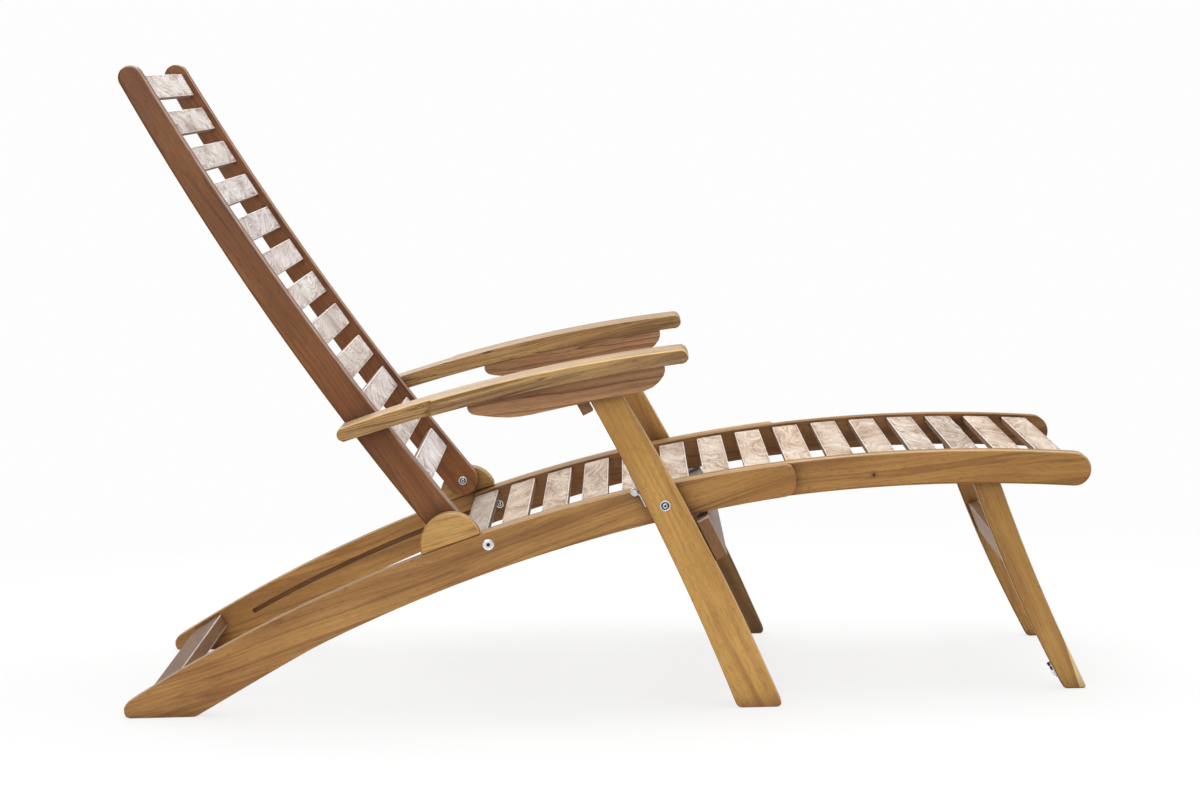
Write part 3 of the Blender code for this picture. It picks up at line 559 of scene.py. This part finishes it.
def slat(node, mat, tint):
    """A slat with rounded corners and eased faces, inside the CAD slat."""
    src = NODES[node]
    best = max(src.data.polygons, key=lambda p: p.area)
    up = best.normal.copy()
    if up.z + up.x < 0:
        up = -up
    along = Vector((0, 1, 0))
    wide = along.cross(up).normalized()
    lo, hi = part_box(node)
    c = (lo + hi) / 2
    pts = [v.co - c for v in src.data.vertices]
    hl = max(p.dot(along) for p in pts)
    hw = max(p.dot(wide) for p in pts)
    ht = max(p.dot(up) for p in pts)
    s = seed_of(node)
    r = 0.0042 + 0.0012 * s
    bm = bmesh.new()
    ring = []
    for cx, cy, a0 in ((hl - r, hw - r, 0), (-(hl - r), hw - r, 90), (-(hl - r), -(hw - r), 180), (hl - r, -(hw - r), 270)):
        for k in range(5):
            a = math.radians(a0 + 90.0 * k / 4)
            ring.append((cx + r * math.cos(a), cy + r * math.sin(a)))
    low = [bm.verts.new(c + along * a + wide * b - up * ht) for a, b in ring]
    top = [bm.verts.new(c + along * a + wide * b + up * ht) for a, b in ring]
    bm.faces.new(low[::-1])
    bm.faces.new(top)
    for i in range(len(ring)):
        j = (i + 1) % len(ring)
        bm.faces.new((low[i], low[j], top[j], top[i]))
    bmesh.ops.recalc_face_normals(bm, faces=bm.faces)
    layer = bm.faces.layers.int.new("edge")
    edges = [e for e in bm.edges if e.calc_face_angle(0.0) > math.radians(60)]
    res = bmesh.ops.bevel(bm, geom=edges, offset=0.0015, offset_type="OFFSET", segments=3, profile=0.5,
                          affect="EDGES", clamp_overlap=True)
    for f in res["faces"]:
        f[layer] = 1
    # cross cuts let the top face carry a distance-to-edge mask
    for k in range(1, 12):
        x = -hl + 2 * hl * k / 12
        bmesh.ops.bisect_plane(bm, geom=list(bm.verts) + list(bm.edges) + list(bm.faces),
                               plane_co=c + along * x, plane_no=along)
    for d in (hl - 0.012, -(hl - 0.012)):
        bmesh.ops.bisect_plane(bm, geom=list(bm.verts) + list(bm.edges) + list(bm.faces),
                               plane_co=c + along * d, plane_no=along)
    for d in (hw - 0.010, 0.0, -(hw - 0.010)):
        bmesh.ops.bisect_plane(bm, geom=list(bm.verts) + list(bm.edges) + list(bm.faces),
                               plane_co=c + wide * d, plane_no=wide)
    for f in bm.faces:
        f.smooth = True
    arris = [float(f[layer]) for f in bm.faces]
    me = bpy.data.meshes.new(node + "_shaped")
    bm.to_mesh(me)
    bm.free()
    attributes(me, along, up, c, node, tint, arris, tilt=0.05 * (s - 0.5), top=up)
    dist = []
    for v in me.vertices:
        d = v.co - c
        dist.append(max(0.0, min(hl - abs(d.dot(along)), hw - abs(d.dot(wide)))))
    a = me.attributes.new("edgedist", "FLOAT", "POINT")
    a.data.foreach_set("value", dist)
    a = me.attributes.new("swirl", "FLOAT", "POINT")
    a.data.foreach_set("value", [1.5 * (seed_of("swirl" + node) - 0.5)] * len(me.vertices))
    ob = link_obj(node + "_timber", me, src["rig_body"], [mat])
    weighted(ob)
    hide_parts(node)
    return ob


def lathe_bolt(name, body, x, z, y_tip, y_seat, radius, height, shank_r, node=None, flange=True):
    """Button head with a hexagon socket on a plain shank; y_seat is the plane under the head."""
    out = 1.0 if y_seat > y_tip else -1.0
    n = 48
    socket = radius * (0.24 if flange else 0.36)

    def hexr(i):
        a = (2 * math.pi * i / n + math.pi / 6) % (math.pi / 3)
        return socket * math.cos(math.pi / 6) / math.cos(a - math.pi / 6)

    if flange:
        prof = [(0.00, 1.00), (0.10, 1.00), (0.26, 0.985), (0.40, 0.94), (0.46, 0.87), (0.45, 0.75),
                (0.36, 0.71), (0.38, 0.63), (0.60, 0.57), (0.84, 0.48), (0.97, 0.37), (1.00, 0.31)]
    else:
        prof = [(0.00, 1.00), (0.22, 1.00), (0.45, 0.955), (0.70, 0.86), (0.90, 0.70), (1.00, 0.54), (1.00, 0.43)]
    bm = bmesh.new()
    rings = []

    def circle(y, r, hexagon=False):
        vs = []
        for i in range(n):
            rr = hexr(i) if hexagon else r
            a = 2 * math.pi * i / n
            vs.append(bm.verts.new((x + rr * math.cos(a), y, z + rr * math.sin(a))))
        rings.append(vs)

    circle(y_tip, shank_r * 0.82)
    circle(y_tip + out * 0.0006, shank_r)
    circle(y_seat, shank_r)
    for h, r in prof:
        circle(y_seat + out * h * height, r * radius)
    circle(y_seat + out * height * 0.99, 0, True)
    circle(y_seat + out * height * 0.22, 0, True)
    faces = []
    for k, (a, b) in enumerate(zip(rings, rings[1:])):
        for i in range(n):
            j = (i + 1) % n
            f = bm.faces.new((a[i], a[j], b[j], b[i]))
            # material 1 is the painted-shade steel in the socket walls and the groove ring; material 2 is the dome
            f.material_index = 1 if k >= len(rings) - 2 or (flange and k in (8, 9, 10)) else (
                2 if flange and k in (11, 12) else 0)
            faces.append(f)
    bm.faces.new(rings[0][::-1])
    tip = bm.verts.new((x, y_seat + out * height * 0.14, z))
    last = rings[-1]
    for i in range(n):
        f = bm.faces.new((last[i], last[(i + 1) % n], tip))
        # socket floor, painted shade
        f.material_index = 1
    bmesh.ops.recalc_face_normals(bm, faces=bm.faces)
    for f in bm.faces:
        f.smooth = True
    for e in bm.edges:
        if len(e.link_faces) == 2 and e.calc_face_angle(0.0) > math.radians(40):
            e.smooth = False
    me = bpy.data.meshes.new(name)
    bm.to_mesh(me)
    bm.free()
    ob = link_obj(name, me, body, [M_STEEL, M_RECESS_SHADE, M_STEEL_DOME])
    if node:
        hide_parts(node)
    return ob


def outline_piece(name, body, outline, y0, y1, mats, bevel=0.0, seg=3, grain=None, up=(0, 1, 0), tint=(1, 1, 1)):
    """A small prism across the chair from a side-view outline in metres."""
    bm = bmesh.new()
    a = [bm.verts.new((x, y0, z)) for x, z in outline]
    b = [bm.verts.new((x, y1, z)) for x, z in outline]
    bm.faces.new(a)
    bm.faces.new(b[::-1])
    for i in range(len(outline)):
        j = (i + 1) % len(outline)
        bm.faces.new((a[j], a[i], b[i], b[j]))
    bmesh.ops.recalc_face_normals(bm, faces=bm.faces)
    layer = bm.faces.layers.int.new("edge")
    if bevel:
        edges = [e for e in bm.edges if e.calc_face_angle(0.0) > math.radians(38)]
        res = bmesh.ops.bevel(bm, geom=edges, offset=bevel, offset_type="OFFSET", segments=seg, profile=0.5,
                              affect="EDGES", clamp_overlap=True)
        for f in res["faces"]:
            f[layer] = 1
    for f in bm.faces:
        f.smooth = True
    arris = [float(f[layer]) for f in bm.faces]
    me = bpy.data.meshes.new(name)
    bm.to_mesh(me)
    bm.free()
    if grain is not None:
        c = sum((v.co for v in me.vertices), Vector()) / len(me.vertices)
        attributes(me, Vector(grain), Vector(up), c, name, tint, arris)
    ob = link_obj(name, me, body, mats)
    weighted(ob)
    return ob


# ------------------------------------------------------------------ the chair
DX = 0.03753          # drawing datum to the middle of the chair


def P(x, z):
    return (x * 0.001 + DX, z * 0.001)


def low_dark(co):
    """The sitter's left front leg is darker towards the bottom, partly darker wood and partly painted shadow from
    the seat and the near leg; the upper part is lifted a little, painted light against its shade.
    """
    k = min(1.0, max(0.0, (co.z - 0.305) / 0.06))
    k = k * k * (3.0 - 2.0 * k)
    return (0.37 + 0.71 * k, 0.33 + 0.76 * k, 0.33 + 0.84 * k)


def inner_painted_shade(co):
    """Rails are painted darker on the inside: painted shade on the inner faces."""
    k = min(1.0, max(0.0, (abs(co.y) - 0.2035) / 0.008))
    return (0.56 + 0.42 * k, 0.49 + 0.48 * k, 0.44 + 0.52 * k)


for side in ("left", "right"):
    board("base_rail_" + side, M_RAIL, (1.0, 0, 0.345), width=0.0026, tilt=0.02,
          tint=(1.10, 1.10, 1.05) if side == "left" else (0.93, 0.92, 0.91))
    board("cheek_" + side, M_CHEEK, (1.0, 0, 0.20), width=0.0022, tilt=0.0)
    board("seat_rail_" + side, M_SEATRAIL if side == "right" else M_RAIL, (1.0, 0, 0.085), width=0.0030, tint=inner_painted_shade)
    board("back_rail_" + side, M_BACK, (-0.56, 0, 0.83), width=0.0030)
    board("front_leg_" + side, M_LEG, (-0.43, 0, 0.90), width=0.0026,
          tint=low_dark if side == "left" else (1.0, 1.0, 1.0))
    board("footrest_leg_" + side, M_SAPLEG if side == "right" else M_LEG, (-0.37, 0, 0.93), width=0.0022,
          tint=(0.84, 0.83, 0.84) if side == "right" else (0.74, 0.70, 0.70))

    def arm_top(e):
        mid = (e.verts[0].co + e.verts[1].co) / 2
        n = sum((f.normal for f in e.link_faces), Vector())
        return n.z > 0.25 and mid.z > 0.42

    board("arm_" + side, M_ARM, (1.0, 0, 0.22), up=(-0.2, 0, 1.0), width=0.0026, roll=0.5,
          round_edges=arm_top, big=0.0048, tint=(0.93, 0.93, 0.95) if side == "left" else (1.0, 1.0, 1.0))
    for which in ("outer_", "inner_"):
        board("arm_apron_" + which + side, M_APRON, (1.0, 0, 0.13), width=0.0022,
              tint=(0.80, 0.80, 0.83) if side == "left" else (1.0, 1.0, 1.0))

board("rear_stretcher", M_OLDSLAT, (0, 1, 0), up=(-0.51, 0, 0.86), width=0.0018)
board("front_leg_stretcher", M_DARKBOARD, (0, 1, 0), up=(0.9, 0, 0.42), width=0.0022)
# the 1.30 tint is partly paler weathered wood and partly painted light, lifting a board that sits in shade
board("footrest_stretcher", M_SEATSLAT, (0, 1, 0), up=(-0.95, 0, -0.3), width=0.0016, tint=(1.30, 1.26, 1.20))

for k in range(1, 13):
    nm = "back_slat_%02d" % k
    slat(nm, M_BACKSLAT, tint_of(nm, 0.07, 0.03))
for k in range(1, 16):
    nm = "seat_slat_%02d" % k
    slat(nm, M_SEATSLAT, tuple(x * (0.70 if k == 1 else 0.92 if k == 4 else 1.0) for x in tint_of(nm, 0.06, 0.03)))

for side, s in (("left", 1.0), ("right", -1.0)):
    for nm, head_out, radius, height, shank in (
            ("leg_pivot_bolt_", True, 0.0083, 0.0030, 0.0040),
            ("back_pivot_bolt_", False, 0.0070, 0.0034, 0.0040),
            ("guide_bolt_", False, 0.0065, 0.0030, 0.0030),
            ("footrest_pivot_bolt_", False, 0.0065, 0.0030, 0.0030)):
        node = nm + side
        lo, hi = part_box(node)
        x, z = (lo.x + hi.x) / 2, (lo.z + hi.z) / 2
        outer = hi.y if s > 0 else lo.y
        inner = lo.y if s > 0 else hi.y
        head_end, tip = (outer, inner) if head_out else (inner, outer)
        direction = 1.0 if head_end > tip else -1.0
        lathe_bolt(node + "_steel", NODES[node]["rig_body"], x, z, tip, head_end - direction * height,
                   radius, height, shank, node=node)

    # stop bolt on the outer face of the base rail
    x, z = P(-221.0, 253.0)
    lathe_bolt("stop_bolt_" + side, "base", x, z, s * 0.2465, s * 0.24805, 0.0087, 0.0016, 0.004, flange=False)

    # small block behind the head of the front leg
    d = Vector((-0.47, 0.883))
    a, b = Vector((-55.0, 457.0)), Vector((-70.5, 449.5))
    quad = [a, b, b + d * 30.0, a + d * 30.0]
    outline_piece("leg_block_" + side, "front_legs", [P(*q) for q in quad], s * 0.2515, s * 0.2705, [M_DARKBOARD],
                  bevel=0.0012, grain=(-0.47, 0, 0.883), tint=(1.15, 1.1, 1.05))

for nm in NODES:
    if nm.startswith(("arm_hinge_pin", "arm_tail_pin")):
        ob = NODES[nm]
        ob.data.materials.clear()
        ob.data.materials.append(M_STEEL)


def leg_edge(along, out):
    """Point off the rear edge of the front leg, from the middle of the strap, in drawing mm."""
    top, foot = Vector((-47.0, 497.0)), Vector((188.5, 0.0))
    run = foot - top
    left = Vector((-run.y, run.x)).normalized()
    t = 0.311 + along / run.length
    p = top + run * t + left * (4.0 * 10.2 * t * (1.0 - t))
    d = (run + left * (4.0 * 10.2 * (1.0 - 2.0 * t))).normalized()
    n = Vector((d.y, -d.x))
    return p + n * (0.5 * (45.6 + 24.0 * t - 4.6 * t * t) + out)


for side, s in (("left", 1.0), ("right", -1.0)):
    thick, rad, off = 1.9, 4.6, 6.3
    prof = [(-31.0, 0.5 + thick), (-9.6, 0.5 + thick), (-7.6, 1.1 + thick)]
    for k in range(25):
        a = math.radians(208.0 - 236.0 * k / 24)
        prof.append(((rad + thick) * math.cos(a), off + (rad + thick) * math.sin(a)))
    prof += [(7.6, 1.1 + thick), (9.6, 0.5 + thick), (28.0, 0.5 + thick), (28.0, 0.5), (6.6, 0.5)]
    for k in range(25):
        a = math.radians(-42.0 + 264.0 * k / 24)
        prof.append((rad * math.cos(a), off + rad * math.sin(a)))
    prof += [(-6.6, 0.5), (-31.0, 0.5)]
    pts = [P(*leg_edge(a, b)) for a, b in prof]
    outline_piece("leg_strap_" + side, "front_legs", pts, s * 0.2535, s * 0.2685, [M_STEEL], bevel=0.0004,
                  seg=2)
    x, z = P(*leg_edge(0.0, off + 0.1))
    bm = bmesh.new()
    rings = []
    for y, r in ((0.2508, 0.0032), (0.2513, 0.0039), (0.2540, 0.0039), (0.2541, 0.0036), (0.2679, 0.0036),
                 (0.2680, 0.0039), (0.2707, 0.0039), (0.2712, 0.0032)):
        rings.append([bm.verts.new((x + r * math.cos(2 * math.pi * i / 32), s * y, z + r * math.sin(2 * math.pi * i / 32)))
                      for i in range(32)])
    for a, b in zip(rings, rings[1:]):
        for i in range(32):
            bm.faces.new((a[i], a[(i + 1) % 32], b[(i + 1) % 32], b[i]))
    bm.faces.new(rings[0])
    bm.faces.new(rings[-1])
    bmesh.ops.recalc_face_normals(bm, faces=bm.faces)
    for f in bm.faces:
        f.smooth = True
    me = bpy.data.meshes.new("leg_strap_rod_" + side)
    bm.to_mesh(me)
    bm.free()
    ob = link_obj("leg_strap_rod_" + side, me, "front_legs", [M_STEEL])
    weighted(ob)

# catch on the rear edge of the right footrest leg
def foot_edge(along, out):
    """Point off the rear edge of the footrest leg, measured down from 47 mm above the ground, in drawing mm."""
    x0 = 545.0
    z0 = -2080.0 + math.sqrt((2457.0 - 34.3) ** 2 - (x0 - 490.0) ** 2)
    top, foot = Vector((x0, z0)), Vector((681.5, 0.0))
    run = foot - top
    left = Vector((-run.y, run.x)).normalized()
    t = 1.0 - (47.0 / z0) + along / run.length
    p = top + run * t + left * (4.0 * -7.2 * t * (1.0 - t))
    d = (run + left * (4.0 * -7.2 * (1.0 - 2.0 * t))).normalized()
    n = Vector((d.y, -d.x))
    return p + n * (0.5 * (39.0 + 2.4 * t - 9.6 * t * t) + out)


for nm, (a0, a1, o0, o1), (y0, y1), mat, bev in (
        ("catch_plate", (-1.0, 21.0, 0.15, 1.25), (-0.1960, -0.1840), M_STEEL, 0.0003),
        ("catch_tip", (-1.6, 3.2, 1.35, 5.6), (-0.1935, -0.1865), M_TIP, 0.0009),
        ("catch_pin", (3.25, 5.6, 1.6, 3.6), (-0.1920, -0.1880), M_STEEL_DOME, 0.0005),
        ("catch_band", (5.65, 9.8, 1.35, 4.6), (-0.1945, -0.1855), M_TIP, 0.0006),
        ("catch_roller", (9.9, 20.0, 1.35, 4.9), (-0.1945, -0.1855), M_STEEL, 0.0014),
        ("catch_screw", (21.2, 23.4, 0.15, 2.0), (-0.1920, -0.1880), M_SCREW, 0.0006)):
    pts = [P(*foot_edge(a, b)) for a, b in ((a0, o0), (a1, o0), (a1, o1), (a0, o1))]
    outline_piece(nm, "footrest_legs", pts, y0, y1, [mat], bevel=bev, seg=3)

# ------------------------------------------------------------------ stage
bm = bmesh.new()
bmesh.ops.create_grid(bm, x_segments=4, y_segments=4, size=30.0)
me = bpy.data.meshes.new("studio_floor")
bm.to_mesh(me)
bm.free()
floor = bpy.data.objects.new("studio_floor", me)
SCENE.collection.objects.link(floor)
floor.location = (0, 0, -0.0004)
t = Tree("studio_floor_paint")
co = t.node("ShaderNodeTexCoord").outputs["Object"]
n = t.noise(co, 0.6, 3.0, 0.5)
t.link(t.ramp(n, [(0.3, (0.90, 0.90, 0.895)), (0.7, (0.93, 0.93, 0.925))]), t.bsdf.inputs["Base Color"])
t.bsdf.inputs["Roughness"].default_value = 0.9
t.bsdf.inputs["Specular IOR Level"].default_value = 0.1
far = t.vmath("LENGTH", t.vmath("MULTIPLY", co, (0.80, 1.25, 1.0)))
clear = t.node("ShaderNodeBsdfTransparent")
glow = t.node("ShaderNodeEmission")
glow.inputs["Color"].default_value = (0.985, 0.985, 0.985, 1.0)
glow.inputs["Strength"].default_value = 1.0
seen_ray = t.node("ShaderNodeLightPath").outputs["Is Camera Ray"]
soft = t.node("ShaderNodeMixShader")
t.link(t.math("MULTIPLY", seen_ray, 0.76), soft.inputs[0])
t.link(t.bsdf.outputs[0], soft.inputs[1])
t.link(glow.outputs[0], soft.inputs[2])
blend = t.node("ShaderNodeMixShader")
t.link(t.remap(far, 0.75, 1.75, 0.0, 1.0, True), blend.inputs[0])
t.link(soft.outputs[0], blend.inputs[1])
t.link(clear.outputs[0], blend.inputs[2])
t.link(blend.outputs[0], t.nt.nodes["Material Output"].inputs["Surface"])
me.materials.append(t.mat)

world = bpy.data.worlds.new("studio")
SCENE.world = world
world.use_nodes = True
wt = world.node_tree
bg = wt.nodes["Background"]
bg.inputs["Color"].default_value = (1.0, 1.0, 1.0, 1.0)
bg.inputs["Strength"].default_value = 0.50
seen = wt.nodes.new("ShaderNodeBackground")
seen.inputs["Color"].default_value = (0.985, 0.985, 0.985, 1.0)
path = wt.nodes.new("ShaderNodeLightPath")
pick = wt.nodes.new("ShaderNodeMixShader")
wt.links.new(path.outputs["Is Camera Ray"], pick.inputs[0])
wt.links.new(bg.outputs[0], pick.inputs[1])
wt.links.new(seen.outputs[0], pick.inputs[2])
# mirror-like rays see a bright ceiling over a dark room, so metal reads as metal
room = wt.nodes.new("ShaderNodeBackground")
sky = wt.nodes.new("ShaderNodeTexCoord")
sep = wt.nodes.new("ShaderNodeSeparateXYZ")
wt.links.new(sky.outputs["Generated"], sep.inputs[0])
shade = wt.nodes.new("ShaderNodeValToRGB")
els = shade.color_ramp.elements
for pos, v in ((0.0, 0.25), (0.36, 0.05), (0.45, 0.95), (0.55, 1.0), (0.60, 0.04), (0.70, 0.08), (0.77, 1.0), (1.0, 1.0)):
    e = els.new(pos)
    e.color = (v, v, v, 1.0)
els.remove(els[0])
els.remove(els[-1])
half = wt.nodes.new("ShaderNodeMath")
half.operation = "MULTIPLY_ADD"
wt.links.new(sep.outputs["Z"], half.inputs[0])
half.inputs[1].default_value = 0.5
half.inputs[2].default_value = 0.5
wt.links.new(half.outputs[0], shade.inputs[0])
wt.links.new(shade.outputs[0], room.inputs["Color"])
room.inputs["Strength"].default_value = 0.75
gloss = wt.nodes.new("ShaderNodeMixShader")
wt.links.new(path.outputs["Is Glossy Ray"], gloss.inputs[0])
wt.links.new(pick.outputs[0], gloss.inputs[1])
wt.links.new(room.outputs[0], gloss.inputs[2])
wt.links.new(gloss.outputs[0], wt.nodes["World Output"].inputs["Surface"])


def area(name, loc, target, size, power, colour=(1, 1, 1), size_y=None):
    data = bpy.data.lights.new(name, "AREA")
    data.energy = power
    data.color = colour
    data.shape = "RECTANGLE" if size_y else "SQUARE"
    data.size = size
    if size_y:
        data.size_y = size_y
    ob = bpy.data.objects.new(name, data)
    SCENE.collection.objects.link(ob)
    ob.location = loc
    ob.rotation_euler = (Vector(target) - Vector(loc)).to_track_quat("-Z", "Y").to_euler()
    return ob


area("overhead_softbox", (0.1, 0.2, 3.0), (0.0, 0.0, 0.3), 3.4, 86.0, size_y=2.4)
area("front_softbox", (-1.0, -3.6, 1.5), (0.0, 0.0, 0.4), 2.2, 26.0, size_y=1.6)
area("rear_glow", (-1.4, 2.8, 2.2), (0.0, 0.0, 0.4), 1.8, 22.0, size_y=1.4)

cam_data = bpy.data.cameras.new("photo_camera")
cam = bpy.data.objects.new("photo_camera", cam_data)
SCENE.collection.objects.link(cam)
cam_data.sensor_fit = "HORIZONTAL"
cam_data.sensor_width = 36.0
cam_data.lens = 2677.3 / 1200.0 * 36.0
cam_data.clip_end = 200.0
cam.matrix_world = (Matrix.Translation((DX, -4.348, 0.9901)) @ Matrix.Rotation(math.pi / 2, 4, "X")
                    @ Matrix.Rotation(-0.024, 4, "Z"))
SCENE.camera = cam


def rising_front(prop, value):
    """Lens shift for the main camera position only; a camera moved elsewhere looks straight ahead."""
    drv = cam_data.driver_add(prop).driver
    drv.type = "SCRIPTED"
    var = drv.variables.new()
    var.name = "y"
    var.type = "TRANSFORMS"
    var.targets[0].id = cam
    var.targets[0].transform_type = "LOC_Y"
    var.targets[0].transform_space = "WORLD_SPACE"
    drv.expression = "%.6f if abs(y + 4.348) < 0.001 else 0.0" % value


rising_front("shift_x", -21.0 / 1200.0)
rising_front("shift_y", -340.0 / 1200.0)
SCENE.view_settings.view_transform = "Standard"
SCENE.view_settings.look = "None"
SCENE.view_settings.exposure = 0.0
